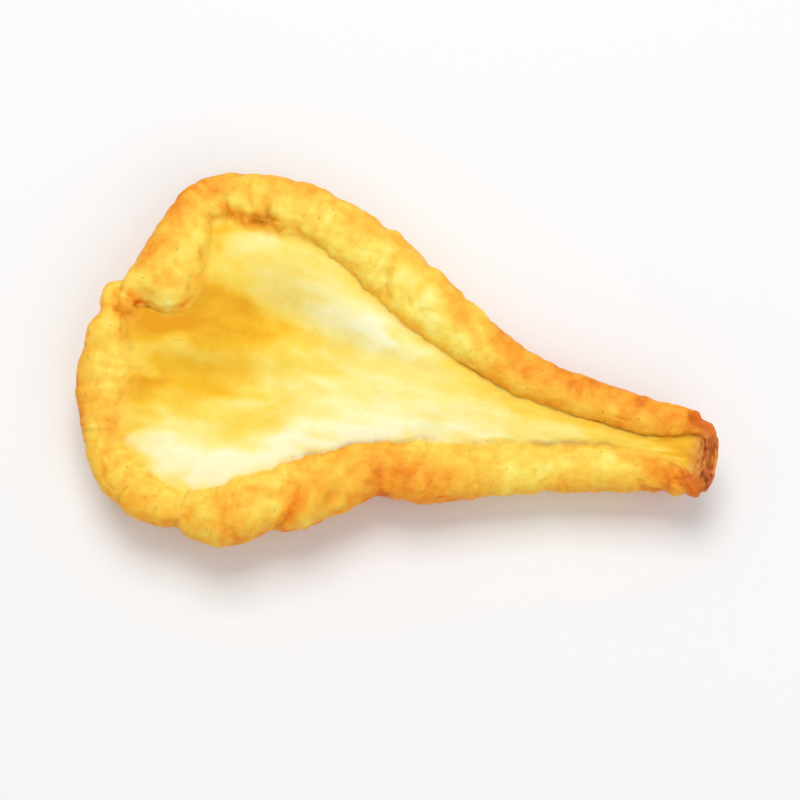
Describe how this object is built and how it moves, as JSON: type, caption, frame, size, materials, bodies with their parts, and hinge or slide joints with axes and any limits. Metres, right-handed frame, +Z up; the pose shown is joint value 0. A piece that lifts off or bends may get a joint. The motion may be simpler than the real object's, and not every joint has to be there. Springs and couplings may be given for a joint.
{
  "type": "dried pear",
  "caption": "Dried pear half lying cut face up: a wrinkled skin rolled over a sunken bed of pale flesh, narrowing to a bent neck with a brown stem scar.",
  "frame": {"origin": "centre of the bounding box in X and Y, at the height of the surface it rests on", "axes": "+X along the pear toward the stem end, +Y across it toward the folded lobe, +Z up out of the cut face"},
  "size_m": [0.0748, 0.045, 0.0103],
  "materials": {
    "dried_pear": "soft moist skin, golden yellow to orange, with pale cream flesh"
  },
  "bodies": {
    "root": {"dried_pear_half": "dried_pear"}
  },
  "joints": []
}
